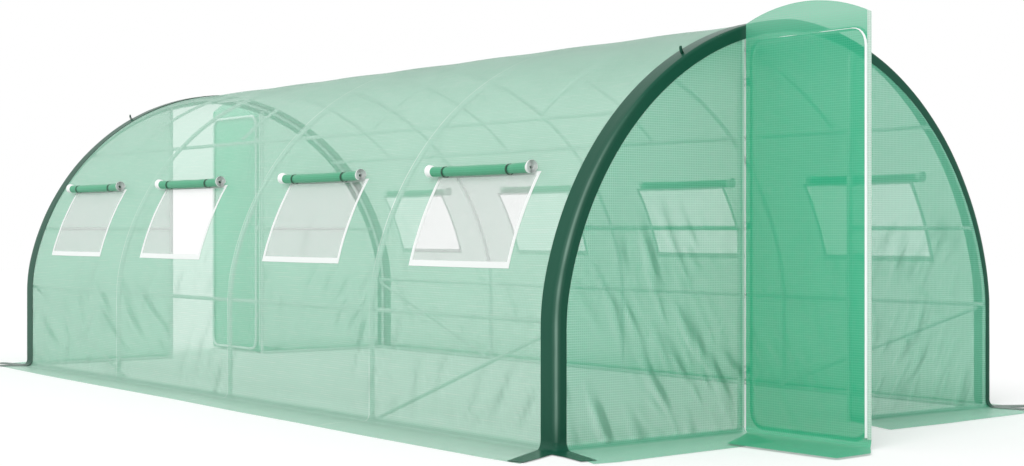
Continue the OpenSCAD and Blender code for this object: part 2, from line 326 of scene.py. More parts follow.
def close_sheet(made, thick, inside, offset=-1.0):
    """Turns the sheet's faces away from the inside point, gives it its thickness and smooths it."""
    only(made)
    bpy.ops.object.mode_set(mode="EDIT")
    bpy.ops.mesh.select_all(action="SELECT")
    bpy.ops.mesh.delete_loose()
    bpy.ops.mesh.select_all(action="SELECT")
    bpy.ops.mesh.remove_doubles(threshold=0.00005)
    bpy.ops.object.mode_set(mode="OBJECT")
    facing = sum((f.center - Vector(inside)).dot(f.normal) * f.area for f in made.data.polygons)
    if facing < 0:
        made.data.flip_normals()
    give_wall(made, thick, offset, 50)
    return made


def joined(name, *parts):
    """Joins like pieces into one object."""
    only(*parts)
    bpy.ops.object.join()
    made = bpy.context.object
    made.name = name
    return made


def fitted(made, material, slot, *replaced, body="structure"):
    """Gives a piece its material and its body and hides the frame solids that it stands for; slot is not
    used.
    """
    made.data.materials.clear()
    made.data.materials.append(material)
    if replaced:
        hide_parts(*replaced)
    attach(made, body)
    return made


def scrim_group():
    """The woven scrim in the film: threads both ways, broken into dashes, with crinkle between them."""
    made, source, sink = group(
        "film scrim", [("Pitch", "NodeSocketFloat"), ("Thread", "NodeSocketFloat")],
        [("Threads", "NodeSocketFloat"), ("Dashes", "NodeSocketFloat"), ("Cloud", "NodeSocketFloat"),
         ("Height", "NodeSocketFloat")])
    cloth = add(made, "ShaderNodeUVMap", uv_map="cloth")
    axes = add(made, "ShaderNodeSeparateXYZ", {0: cloth.outputs[0]})
    across = []
    for axis in (0, 1):
        cell = worked(made, "DIVIDE", axes.outputs[axis], source.outputs["Pitch"])
        part = worked(made, "WRAP", cell, 0.0, 1.0)
        away = worked(made, "ABSOLUTE", worked(made, "SUBTRACT", part, 0.5))
        across.append(add(made, "ShaderNodeMapRange",
                          {0: away, 1: source.outputs["Thread"], 2: 0.0, 3: 0.0, 4: 1.0},
                          interpolation_type="SMOOTHSTEP").outputs[0])
    threads = worked(made, "MAXIMUM", *across)
    stretch = add(made, "ShaderNodeMapping", {0: cloth.outputs[0], "Scale": (6.0, 70.0, 1.0)})
    dash = add(made, "ShaderNodeTexNoise", {"Vector": stretch.outputs[0], "Scale": 1.0, "Detail": 2.0})
    dash = add(made, "ShaderNodeMapRange", {0: dash.outputs[0], 1: 0.50, 2: 0.66})
    dashes = worked(made, "MULTIPLY", dash.outputs[0], across[1])
    cloud = add(made, "ShaderNodeTexNoise", {"Vector": cloth.outputs[0], "Scale": 1.7, "Detail": 3.0})
    crinkle = add(made, "ShaderNodeTexNoise", {"Vector": cloth.outputs[0], "Scale": 26.0, "Detail": 4.0,
                                               "Distortion": 0.6})
    height = worked(made, "ADD", crinkle.outputs[0], worked(made, "MULTIPLY", threads, 0.25))
    for socket, value in zip(sink.inputs, (threads, dashes, cloud.outputs[0], height)):
        made.links.new(value, socket)
    return made


SCRIM = scrim_group()


def woven_in(tree, pitch, thread):
    """The scrim in a material: threads are pitch apart, and thread is half their width as a share of it."""
    scrim = add(tree, "ShaderNodeGroup", {}, node_tree=SCRIM)
    scrim.inputs["Pitch"].default_value = pitch
    scrim.inputs["Thread"].default_value = thread
    return scrim


def cloth_axis(tree, axis):
    """One axis of the flat cloth's own map: 0 runs along it and 1 up it."""
    cloth = add(tree, "ShaderNodeUVMap", uv_map="cloth")
    return add(tree, "ShaderNodeSeparateXYZ", {0: cloth.outputs[0]}).outputs[axis]


def near_face_only(tree, dense):
    """Opacity that is left to the face turned to the eye, so that a shell counts once."""
    far = add(tree, "ShaderNodeNewGeometry")
    return worked(tree, "MULTIPLY", dense, worked(tree, "SUBTRACT", 1.0, far.outputs["Backfacing"]))


def hoop_highlight(tree, tubes, cloud):
    """Painted highlight in a thin line where the film is drawn over hoops that stand tubes apart, broken up
    by the cloud.
    """
    away = worked(tree, "ABSOLUTE", worked(tree, "WRAP", cloth_axis(tree, 0), -tubes / 2, tubes / 2))
    near_hoop = add(tree, "ShaderNodeMapRange", {0: away, 1: 0.006, 2: 0.002, 4: 0.6})
    broken_up = add(tree, "ShaderNodeMapRange", {0: cloud, 1: 0.36, 2: 0.56})
    return worked(tree, "MULTIPLY", near_hoop.outputs[0], broken_up.outputs[0])


def film(name, green, opacity, thread, dash, dashes, woven_share=0.55, bump=0.35, crown=None, tubes=None):
    """Translucent scrim film, with the opacity of a whole sheet. Above the height crown it is lightened with
    painted light, as if lit through from behind, and it has a painted highlight in a thin line over hoops
    that stand tubes apart. Where the shading mark is above 0 it is darkened with painted shade and made
    denser, and where it is below 0 it is lightened with a painted highlight."""
    made = bpy.data.materials.new(name)
    tree = nodes_of(made)
    scrim = woven_in(tree, SCRIM_PITCH, 0.2)
    deep = tuple(c * 0.88 for c in green)
    fold_shade_green = tuple(c * 0.52 for c in green)
    colour = tinted(tree, scrim.outputs["Cloud"], (*green, 1), deep)
    if crown:
        # Painted light above the crown height.
        up = add(tree, "ShaderNodeMapRange", {0: cloth_axis(tree, 1), 1: crown - 0.06, 2: crown + 0.06})
        colour = tinted(tree, up.outputs[0], colour, BACKLIT_PALE)
    colour = tinted(tree, worked(tree, "MULTIPLY", scrim.outputs["Threads"], woven_share), colour, thread)
    colour = tinted(tree, worked(tree, "MULTIPLY", scrim.outputs["Dashes"], dashes), colour, dash)
    # Painted highlight along the hoops.
    if tubes:
        colour = tinted(tree, hoop_highlight(tree, tubes, scrim.outputs["Cloud"]), colour, HOOP_HIGHLIGHT)
    mark = add(tree, "ShaderNodeAttribute", attribute_name="crease")
    # The crease attribute is painted shading: painted shade above 0 and a painted highlight below 0.
    shaded_share = add(tree, "ShaderNodeMapRange", {0: mark.outputs["Fac"], 1: 0.02, 2: 0.5, 4: 0.8})
    lit_share = add(tree, "ShaderNodeMapRange", {0: mark.outputs["Fac"], 1: -0.02, 2: -0.5, 4: 0.45})
    colour = tinted(tree, shaded_share.outputs[0], colour, fold_shade_green)
    colour = tinted(tree, lit_share.outputs[0], colour, FOLD_HIGHLIGHT)
    dense = add(tree, "ShaderNodeMapRange",
                {0: scrim.outputs["Threads"], 3: opacity, 4: min(1.0, opacity + 0.14)})
    # Painted shade also makes the film denser, as in a fold's doubled layers.
    doubled = worked(tree, "MULTIPLY", shaded_share.outputs[0], 0.26)
    alpha = near_face_only(tree, worked(tree, "ADD", dense.outputs[0], doubled, clamp=True))
    rough = add(tree, "ShaderNodeMapRange", {0: scrim.outputs["Threads"], 3: 0.34, 4: 0.5})
    relief = add(tree, "ShaderNodeBump",
                 {"Height": scrim.outputs["Height"], "Strength": bump, "Distance": 0.0012})
    face = add(tree, "ShaderNodeBsdfPrincipled", {
        "Base Color": colour, "Alpha": alpha, "Roughness": rough.outputs[0], "Normal": relief.outputs[0],
        "Specular IOR Level": 0.35})
    add(tree, "ShaderNodeOutputMaterial", {"Surface": face.outputs[0]})
    return made


def skirt_edge(node, side):
    """The outer edge of a side skirt, as distances from the wall by place along the tunnel."""
    found = {}
    for vertex in nodes[node].data.vertices:
        if side * vertex.co.x > HALF + 0.01:
            found[round(vertex.co.y, 3)] = side * vertex.co.x - HALF
    return sorted(found.items())


def between(table, at):
    """Straight-line reading of a sorted table of pairs."""
    if at <= table[0][0]:
        return table[0][1]
    for (x0, y0), (x1, y1) in zip(table, table[1:]):
        if at <= x1:
            return y0 + (y1 - y0) * (at - x0) / (x1 - x0)
    return table[-1][1]


def foot(away):
    """Height of the soft bend between a wall and its skirt, by distance from the wall."""
    if away >= FOOT_R:
        return 0.0
    return FOOT_R - math.sqrt(FOOT_R ** 2 - (FOOT_R - away) ** 2)


def bay_sag(y, tubes):
    """How far the film may sink between its tubes, from 0 at a tube to 1 midway."""
    low = max([t for t in tubes if t <= y], default=tubes[0])
    high = min([t for t in tubes if t > y], default=tubes[-1])
    if high <= low:
        return 0.0
    return math.sin(math.pi * (y - low) / (high - low)) ** 2


def crease(u, v, seed, lean):
    """Slanting pulled folds, from 0 to 1: short soft ridges that come and go along the lean."""
    turn = math.atan(lean)
    bend = 0.05 * noise.noise(Vector((u * 1.9, v * 1.9, seed + 4.0)))
    across = u * math.cos(turn) + v * math.sin(turn) + bend
    on = v * math.cos(turn) - u * math.sin(turn)
    ridge = max(0.0, noise.noise(Vector((across * 12.0, on * 3.2, seed))) + 0.04)
    fine = max(0.0, noise.noise(Vector((across * 25.0, on * 6.0, seed + 2.0))))
    patch = min(1.0, max(0.0, noise.noise(Vector((u * 1.7, v * 1.9, seed + 9.0))) * 2.4 + 0.45))
    return (1.9 * ridge ** 1.3 + 0.7 * fine ** 1.3) * patch


def fold_shading(u, v, seed, lean):
    """Painted shading of a fold in the film: above 0 for painted shade on one side of the fold and below 0
    for a painted highlight on its other side.
    """
    return 1.3 * (crease(u, v, seed, lean) - 0.75 * crease(u + 0.016, v + 0.008, seed, lean))


windows = {side: spans(name) for side, name in ((-1, "left_screens"), (1, "right_screens"))}
window_low = girth_at(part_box("left_screens")[0].z)
window_top = girth_at(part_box("left_screens")[1].z)
edges = {side: skirt_edge(name, side) for side, name in ((-1, "left_skirt"), (1, "right_skirt"))}


def cover_point(y, s, inset=0.0):
    """Point of the laid cover: s runs from the left foot over the ridge to the right foot."""
    side = -1 if s < GIRTH else 1
    a = min(s, 2 * GIRTH - s)
    point, out = section(a, inset)
    roof = min(1.0, max(0.0, (a - girth_at(ROOF_FROM)) / 0.12))
    sink = SIDE_SAG * bay_sag(y, HOOPS) * (1 - roof) + ROOF_SAG * bay_sag(y, sorted(HOOPS + RIBS)) * roof
    sink *= min(1.0, a / 0.3)
    fine = 0.0012 * noise.noise(Vector((y * 1.2, s * 11.0, 3.0))) + 0.0008
    low = max(0.0, 1 - a / 0.9)
    fold = SIDE_FOLD * low * crease(-y * side, a, 5.0 + side, 0.6)
    point -= out * (sink + max(0.0, fine) - fold * min(1.0, bay_sag(y, HOOPS) * 3))
    return Vector((side * point.x, y, point.z))


def cover_shading(y, s):
    """Shading mark of the cover: painted shade and highlight as of folds, strongest near the ground, a pale
    line a little above the foot, and painted shade over the ridge, stronger towards the front.
    """
    side = -1 if s < GIRTH else 1
    a = min(s, 2 * GIRTH - s)
    low = max(0.0, 1 - a / 1.0)
    folds = 0.6 * low ** 0.6 * fold_shading(-y * side, a, 5.0 + side, 0.6)
    # Painted shade over the ridge, stronger towards the front end and patchy.
    ridge_shade = max(0.0, 1 - (GIRTH - a) / 1.0)
    ridge_shade *= ridge_shade * (3 - 2 * ridge_shade) * (0.56 - 0.08 * y + 0.3 * noise.noise(Vector((y * 1.3, s * 2.0, 31.0))))
    folds -= 0.2 * max(0.0, 1 - abs(a - 0.07) / 0.03)
    return folds + 0.2 * (1 - low) * fold_shading(y * side, a, 15.0, 0.3) + ridge_shade


def cover_place(y, v):
    """Cover, and skirt where v is past either foot; the skirt's own width is one step of v."""
    if FOOT_R <= v <= 2 * GIRTH - FOOT_R:
        return cover_point(y, v), (y, v), cover_shading(y, v)
    side = -1 if v < GIRTH else 1
    t = (FOOT_R - v) if side < 0 else v - (2 * GIRTH - FOOT_R)
    table = edges[side]
    share = (y + END) / (2 * END)
    out_y = table[0][0] * (1 - share) + table[-1][0] * share
    wide = between(table, out_y)
    away = wide * t
    wave = 0.5 + 0.5 * noise.noise(Vector((y * 2.2, away * 9.0, 20.0 + side)))
    calm = min(1.0, max(0.0, (END - abs(y)) / 0.35))
    lift = 0.0006 + foot(away) + 0.009 * calm * wave * min(1.0, away / 0.1) * min(1.0, (1 - t) * 5)
    start = cover_point(y, FOOT_R if side < 0 else 2 * GIRTH - FOOT_R)
    x = side * (abs(start.x) + away * (wide + HALF - abs(start.x)) / wide)
    along = y + (out_y - y) * t
    stretch = FOOT_R - away - 0.02 if side < 0 else 2 * GIRTH - FOOT_R + away + 0.02
    # The skirt's mark is painted shade, darkest where it leaves the wall's foot.
    return Vector((x, along, lift + FILM)), (along, stretch), 0.38 * (1 - t) ** 1.6


def window_gone(y, v):
    """True inside a window opening."""
    side = -1 if v < GIRTH else 1
    a = v if side < 0 else 2 * GIRTH - v
    return window_low < a < window_top and any(low < y < high for low, high in windows[side])


skirt_steps = (0.0, 0.02, 0.06, 0.12, 0.2, 0.3, 0.42, 0.55, 0.68, 0.8, 0.9, 0.96, 1.0)
cover_us = lines(-END, END, CELL, *[y for side in windows for w in windows[side] for y in w], *HOOPS[1:4])
cover_vs = lines(FOOT_R, 2 * GIRTH - FOOT_R, CELL, window_low, window_top, 2 * GIRTH - window_top,
                 2 * GIRTH - window_low, GIRTH)
left_steps = [FOOT_R - t for t in skirt_steps]
right_steps = [2 * GIRTH - FOOT_R + t for t in skirt_steps]
cover_vs = sorted({*cover_vs, *left_steps, *right_steps})
cover = sheet_mesh("roof_film", cover_us, cover_vs, cover_place, window_gone)
close_sheet(cover, FILM, INSIDE)
side_film = film("side_film", SIDE_GREEN, opacity=0.53, thread=(0.26, 0.58, 0.42), dash=(0.58, 0.70, 0.60),
                 dashes=0.4, tubes=1.5)
fitted(cover, side_film, "side_film", "roof_cover", "left_skirt", "right_skirt")


# ---------------------------------------------------------------- window screens
# Each opening is closed by a panel of white insect mesh that is sewn behind it. A white
# binding tape runs round the opening on the outside, widest along the bottom.
TAPE = 0.0012
SIDE_TAPE = 0.018
LOW_TAPE = 0.030
TAPE_OUT = 0.0022
LAP = 0.004
# Colour of the painted highlight along the sleeves' rounded corners.
PAINTED_HIGHLIGHT = (0.19, 0.31, 0.25)


def screen_mesh():
    """White insect mesh: fine threads both ways with open holes, which read as a half-clear haze."""
    made = bpy.data.materials.new("window_mesh")
    tree = nodes_of(made)
    cloth = add(tree, "ShaderNodeUVMap", uv_map="cloth")
    scrim = woven_in(tree, 0.0018, 0.26)
    long = add(tree, "ShaderNodeMapping", {0: cloth.outputs[0], "Scale": (1.5, 120.0, 1.0)})
    streak = add(tree, "ShaderNodeTexNoise", {"Vector": long.outputs[0], "Scale": 1.0, "Detail": 2.0})
    base = tinted(tree, streak.outputs[0], (0.90, 0.91, 0.905, 1), (0.97, 0.975, 0.97))
    dense = add(tree, "ShaderNodeMapRange", {0: scrim.outputs["Threads"], 3: 0.10, 4: 0.60})
    alpha = near_face_only(tree, dense.outputs[0])
    relief = add(tree, "ShaderNodeBump",
                 {"Height": scrim.outputs["Threads"], "Strength": 0.3, "Distance": 0.0004})
    face = add(tree, "ShaderNodeBsdfPrincipled", {
        "Base Color": base, "Alpha": alpha, "Roughness": 0.6, "Normal": relief.outputs[0]})
    add(tree, "ShaderNodeOutputMaterial", {"Surface": face.outputs[0]})
    return made


def weave(name, colour, deep, pitch, roughness, thread=0.35, bump=0.5, gloss=0.5):
    """Opaque woven tape or webbing that follows the cloth's own map, with a painted highlight where its mark
    is below 0.
    """
    made = bpy.data.materials.new(name)
    tree = nodes_of(made)
    scrim = woven_in(tree, pitch, thread)
    shade = worked(tree, "MULTIPLY", scrim.outputs["Cloud"], scrim.outputs["Threads"])
    base = tinted(tree, shade, (*deep, 1), colour)
    mark = add(tree, "ShaderNodeAttribute", attribute_name="crease")
    highlight_share = add(tree, "ShaderNodeMapRange", {0: mark.outputs["Fac"], 1: 0.0, 2: -1.0})
    base = tinted(tree, highlight_share.outputs[0], base, PAINTED_HIGHLIGHT)
    rough = add(tree, "ShaderNodeMapRange", {0: scrim.outputs["Threads"], 3: roughness + 0.12, 4: roughness})
    relief = add(tree, "ShaderNodeBump",
                 {"Height": scrim.outputs["Height"], "Strength": bump, "Distance": 0.0006})
    face = add(tree, "ShaderNodeBsdfPrincipled", {
        "Base Color": base, "Roughness": rough.outputs[0], "Normal": relief.outputs[0],
        "Specular IOR Level": gloss})
    add(tree, "ShaderNodeOutputMaterial", {"Surface": face.outputs[0]})
    return made


mesh_cloth = screen_mesh()
white_tape = weave("white_binding", (0.90, 0.92, 0.91), (0.78, 0.82, 0.80), pitch=0.0022, roughness=0.5)


def side_place(side, inset):
    """Places a piece on the cover of one side: v is the way up from the ground."""
    def place(y, a):
        return cover_point(y, a if side < 0 else 2 * GIRTH - a, inset), (y, a)
    return place


for side, label in ((-1, "left"), (1, "right")):
    for count, (low, high) in enumerate(windows[side], 1):
        rows = lines(window_low, window_top, 0.03)
        screen = sheet_mesh(f"window_screen_{label}_{count}", lines(low, high, 0.03), rows,
                            side_place(side, 0.0004))
        close_sheet(screen, 0.0006, INSIDE)
        fitted(screen, mesh_cloth, "window_mesh", f"{label}_screens")
        inner = (low + SIDE_TAPE, high - SIDE_TAPE, window_low + LOW_TAPE - LAP, window_top - 0.014)
        columns = lines(low - LAP, high + LAP, 0.03, inner[0], inner[1])
        rows = lines(window_low - LAP, window_top + LAP, 0.03, inner[2], inner[3])
        tape = sheet_mesh(f"window_binding_{label}_{count}", columns, rows, side_place(side, -TAPE_OUT),
                          lambda y, a: inner[0] < y < inner[1] and inner[2] < a < inner[3])
        close_sheet(tape, TAPE, INSIDE)
        fitted(tape, white_tape, "window_mesh")


# ---------------------------------------------------------------- rolled window flaps
# Above each opening its own film flap is rolled up outwards, bound white at its edges, so the
# roll shows a white spiral at each end. Two thin dark straps hold it against the cover.
TURN_STEP = math.radians(20)
CORE_R = 0.008
WRAP = 0.0040
STRAP_AT = (0.285, -0.235)
STRAP_WIDE = 0.012
STRAP_OUT = 0.0022
ROLL_OFF = 0.002
ROLL_DROOP = 0.0025
BOUND_FROM = 0.385
ROLL_FILM = 0.0012
rolled_green = weave("rolled_film", (0.105, 0.47, 0.27), (0.050, 0.33, 0.175), pitch=SCRIM_PITCH,
                     roughness=0.34, thread=0.22, bump=0.6)
tree = rolled_green.node_tree
paint = next(n for n in tree.nodes if n.bl_idname == "ShaderNodeBsdfPrincipled")
green = paint.inputs["Base Color"].links[0].from_socket
edge = worked(tree, "ABSOLUTE", cloth_axis(tree, 0))
edge = add(tree, "ShaderNodeMapRange", {0: edge, 1: BOUND_FROM, 2: BOUND_FROM + 0.0015})
tree.links.new(tinted(tree, edge.outputs[0], green, (0.88, 0.90, 0.89)), paint.inputs["Base Color"])
strap_cloth = weave("strap_webbing", (0.012, 0.085, 0.045), (0.006, 0.05, 0.026), pitch=0.0016,
                    roughness=0.5)


def roll_radius(y, middle, half, seed, strap_ys):
    """Outer radius of a roll at y: lumpy, tight under its straps and a little open at its ends."""
    r = 0.0262 + 0.0016 * noise.noise(Vector((y * 7.0, seed, 1.0)))
    for at in strap_ys:
        r -= 0.0032 * math.exp(-((y - at) / 0.022) ** 2)
    end = min(1.0, max(0.0, (abs(y - middle) - half + 0.034) / 0.030))
    return r + 0.0072 * end * end * (3 - 2 * end)


for side, label in ((-1, "left"), (1, "right")):
    low_box, high_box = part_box(f"{label}_rolls")
    axis = Vector(((low_box.x + high_box.x) / 2, 0, (low_box.z + high_box.z) / 2))
    radius = (high_box.z - low_box.z) / 2
    outward = Vector((axis.x - side * ROOF_X, 0, axis.z - ROOF_Z)).normalized()
    up = Vector((-side * outward.z, 0, side * outward.x))
    for count, (low, high) in enumerate(spans(f"{label}_rolls"), 1):
        middle, half = (low + high) / 2, (high - low) / 2
        strap_ys = [middle - at * side for at in STRAP_AT]
        seed = count * 3.7 + side
        turns = (radius - 0.001 - CORE_R) / WRAP
        last = turns * 2 * math.pi
        start_turn = math.pi * 0.9 - last

        def roll_point(y, r_out, r, angle):
            """Point at r and an angle from the middle of a roll whose outer radius there is r_out."""
            droop = Vector((0, 0, ROLL_DROOP * math.cos((y - middle) / half * math.pi / 2)))
            here = axis + outward * (r_out - radius + ROLL_OFF)
            point = here + (outward * math.cos(angle) + up * math.sin(angle)) * r - droop
            return Vector((point.x, y, point.z))

        def roll_place(y, w):
            """Point of the rolled flap: w is the turn along its spiral."""
            r_out = roll_radius(y, middle, half, seed, strap_ys)
            r = (CORE_R + WRAP * w / (2 * math.pi)) * r_out / (radius - 0.001)
            r += 0.0006 * noise.noise(Vector((y * 9.0, w * 1.2, seed)))
            flat = CORE_R * w + WRAP * w ** 2 / (4 * math.pi)
            return roll_point(y, r_out, r, start_turn + w), (y - middle, flat)

        ws = [last * i / round(last / TURN_STEP) for i in range(round(last / TURN_STEP) + 1)]
        ends = [half - d for d in (0.004, 0.010, 0.017, 0.024, 0.031)]
        columns = lines(low, high, 0.03, *[middle - d for d in ends], *[middle + d for d in ends])
        flap = sheet_mesh(f"rolled_flap_{label}_{count}", columns, ws, roll_place)
        length = roll_place(middle, ws[-1])[1][1]
        only(flap)
        give_wall(flap, ROLL_FILM, 0, 40)
        fitted(flap, rolled_green, "rolled_film", f"{label}_rolls")
        straps = []
        for at_y in strap_ys:
            def strap_place(t, turn):
                """Point of a strap round the roll, with both ends sewn to the cover above it."""
                r_out = roll_radius(at_y + t, middle, half, seed, strap_ys)
                r = r_out + STRAP_OUT
                return roll_point(at_y + t, r_out, r, turn), (t, turn * r)

            turns_round = [math.radians(-165 + 330 * i / 30) for i in range(31)]
            strap = sheet_mesh(f"roll_strap_{label}_{count}", [-STRAP_WIDE / 2, 0, STRAP_WIDE / 2],
                               turns_round, strap_place)
            straps.append(close_sheet(strap, 0.0014, (axis.x, at_y, axis.z), 1.0))
        pair = joined(f"roll_straps_{label}_{count}", *straps)
        fitted(pair, strap_cloth, "rolled_film")


# ---------------------------------------------------------------- end walls
# Each end is one flat sheet of the same scrim film, cut to the arch, with a doorway in the middle.
# Its foot bends outwards into two ground skirts, and loose folds lean across its lower part.
END_GREEN = (0.10, 0.57, 0.34)
EDGE_IN = 0.0033
REACH = HALF - EDGE_IN
JAMBS = (-0.361, 0.385)
LINTEL_IN = 0.060
WALL_FOLD = 0.0110
HEM_WIDE = 0.016
HEM_OUT = 0.0022
HEM = 0.0012
WALL_ROWS = 120
WIDE_SKIRT = ((-1.616, -3.389), (-1.50, -3.408), (-1.13, -3.385), (-0.754, -3.368), (-0.50, -3.338),
              (-0.367, -3.03))
SHORT_SKIRT = ((0.392, -3.02), (0.32, -3.218), (0.273, -3.348), (0.732, -3.341), (0.996, -3.322),
               (1.40, -3.299), (1.50, -3.261))


def top_at(x, inset):
    """Height of the section at x from the middle, inset from the cover's outer face."""
    x = abs(x)
    if x > KNEE_X + (KNEE_R - inset) * math.cos(KNEE_TURN):
        return LEG + math.sqrt(max(0.0, (KNEE_R - inset) ** 2 - (x - KNEE_X) ** 2))
    return ROOF_Z + math.sqrt((ROOF_R - inset) ** 2 - (x - ROOF_X) ** 2)


def along(route, share):
    """Point at a share of a route's length."""
    legs = [math.dist(a, b) for a, b in zip(route, route[1:])]
    left = share * sum(legs)
    for (a, b), leg in zip(zip(route, route[1:]), legs):
        if left <= leg + 1e-9:
            t = left / leg
            return a[0] + (b[0] - a[0]) * t, a[1] + (b[1] - a[1]) * t
        left -= leg
    return route[-1]


def fold_lean(x):
    """Which way and how far the folds lean, on either side of the doorway."""
    return 0.5 if x < 0 else -0.7


def wall_fold(x, z, seed):
    """How far the end wall stands out of its plane."""
    edge = min(1.0, (HALF - abs(x)) / 0.16, max(0.0, (top_at(x, EDGE_IN) - z) / 0.16))
    jamb = min(1.0, min(abs(x - j) for j in JAMBS) / 0.08)
    low = max(0.0, 1 - z / 0.95)
    fold = WALL_FOLD * low ** 0.7 * crease(x, z, seed, fold_lean(x))
    fold += 0.0014 * (1 + noise.noise(Vector((x * 5, z * 3, seed))))
    return fold * max(0.0, edge) * jamb


def wall_half(name, turn, left, right, skirt, seed):
    """One side of an end wall with its skirt; turn is 1 at the front and -1 at the back."""
    lean = fold_lean(left)
    near = [REACH - d for d in (0.0008, 0.003, 0.008, 0.016, 0.028)]
    columns = lines(left, right, 0.014, *[x if left > 0 else -x for x in near])

    def place(x, v):
        """Point of the wall, and of its ground skirt where v is below 0."""
        if v >= 0:
            z = FOOT_R + (top_at(x, EDGE_IN) - FOOT_R) * v
            out = wall_fold(x, z, seed)
            low = max(0.0, 1 - z / 1.1) ** 0.4 + 0.12
            # The wall's mark is painted shade and highlight on its folds, strongest low down.
            return Vector((turn * x, -turn * (END + out), z)), (x, z), low * fold_shading(x, z, seed, lean)
        share = (x - left) / (right - left)
        end_x, end_y = along(skirt, share)
        t = -v
        away = (-end_y - END) * t
        out = wall_fold(x, FOOT_R, seed) * (1 - t) ** 4
        wave = 0.5 + 0.5 * noise.noise(Vector((x * 3.0 + seed, away * 8.0, seed)))
        calm = min(1.0, max(0.0, (HALF - abs(x)) / 0.25))
        lift = 0.0026 + foot(away) + 0.0036 * calm * wave * min(1.0, away / 0.1) * min(1.0, (1 - t) * 5)
        spot = x + (end_x - x) * t ** 1.3
        point = Vector((turn * spot, -turn * (END + max(out, away)), lift + FILM))
        # The skirt's mark is painted shade, darkest where it leaves the wall's foot.
        return point, (spot, FOOT_R - away - 0.02), 0.3 * (1 - t) ** 1.6

    rows = sorted({*[-t for t in skirt_steps], *[i / WALL_ROWS for i in range(WALL_ROWS + 1)]})
    return sheet_mesh(name, columns, rows, place)


def lintel(name, turn):
    """The strip of the end wall that follows the arch over the doorway."""
    def place(x, v):
        """Point of the strip, from its lower edge at 0 to the arch at 1."""
        low, high = top_at(x, LINTEL_IN), top_at(x, EDGE_IN)
        z = low + (high - low) * v
        return Vector((turn * x, -turn * END, z)), (x, z)
    return sheet_mesh(name, lines(*JAMBS, 0.03), [0, 0.5, 1], place)


def hem(name, turn, x, seed):
    """A folded hem up one edge of the doorway, standing just proud of the sheet."""
    top = top_at(x, LINTEL_IN)

    def place(u, v):
        """Point of the hem: u runs from the doorway's edge and v up it."""
        z = FOOT_R + (top - FOOT_R) * v
        across = x + u * (HEM_WIDE if x > 0 else -HEM_WIDE)
        return Vector((turn * across, -turn * (END + HEM_OUT + wall_fold(across, z, seed)), z)), (across, z)
    return sheet_mesh(name, [0, 0.15, 0.5, 0.85, 1], [i / 60 for i in range(61)], place)


end_film = film("end_film", END_GREEN, opacity=0.54, thread=(0.22, 0.66, 0.46), dash=(0.40, 0.70, 0.52),
                dashes=0.10, woven_share=0.8, bump=0.28)
hem_film = film("hem_film", (0.38, 0.72, 0.55), opacity=0.72, thread=(0.46, 0.78, 0.62),
                dash=(0.5, 0.75, 0.6), dashes=0.2)
for turn, label in ((1, "front"), (-1, "back")):
    seed = 40.0 - 7 * turn
    parts = [wall_half(f"{label}_left", turn, -REACH, JAMBS[0], WIDE_SKIRT, seed),
             wall_half(f"{label}_right", turn, JAMBS[1], REACH, SHORT_SKIRT, seed),
             lintel(f"{label}_lintel", turn)]
    wall_film = joined(f"{label}_wall_film", *parts)
    close_sheet(wall_film, FILM, INSIDE)
    fitted(wall_film, end_film, "end_film", f"{label}_wall", f"{label}_skirts")
    hems = [close_sheet(hem(f"{label}_hem", turn, x, seed), HEM, INSIDE) for x in JAMBS]
    hems = joined(f"{label}_jamb_hems", *hems)
    fitted(hems, hem_film, "end_film")


# ---------------------------------------------------------------- arch sleeves
# A dark green sleeve of coated cloth laps round the corner between cover and end wall. It runs
# over the whole arch, soft at its corner, and its feet flare out into short tails on the skirts.
# A painted highlight runs along its rounded corner.
SLEEVE = 0.0033
SLEEVE_SIDE = 0.105
SLEEVE_FACE = 0.055
CORNER_R = 0.014
# Where across the sleeve the painted highlight runs on its rounded corner, and how wide it is.
SHINE_AT = 0.105
SHINE_WIDE = 0.0085
FOOT_H = 0.045
TAILS = ((0.0, (0.350, 0.112)), (0.30, (0.318, 0.192)), (0.44, (0.110, 0.085)), (0.50, (0.052, 0.052)),
         (0.56, (0.075, 0.110)), (0.70, (0.118, 0.312)), (1.0, (0.046, 0.326)))
dark_cloth = weave("dark_film", (0.012, 0.098, 0.058), (0.006, 0.070, 0.040), pitch=0.0036,
                   roughness=0.28, thread=0.4, bump=0.12, gloss=0.14)


def sleeve_profile():
    """Points across the sleeve from the cover's side to the wall's: outwards, along the tunnel, width."""
    points = [(SLEEVE, SLEEVE_SIDE - i * (SLEEVE_SIDE - CORNER_R) / 6) for i in range(6)]
    for i in range(9):
        turn = math.radians(90 * i / 8)
        points.append((SLEEVE - CORNER_R * (1 - math.cos(turn)), CORNER_R * (1 - math.sin(turn)) - SLEEVE))
    points += [(-CORNER_R - (SLEEVE_FACE - CORNER_R) * i / 4, -SLEEVE) for i in range(1, 5)]
    wide, widths = 0.0, [0.0]
    for a, b in zip(points, points[1:]):
        wide += math.dist(a, b)
        widths.append(wide)
    return points, widths


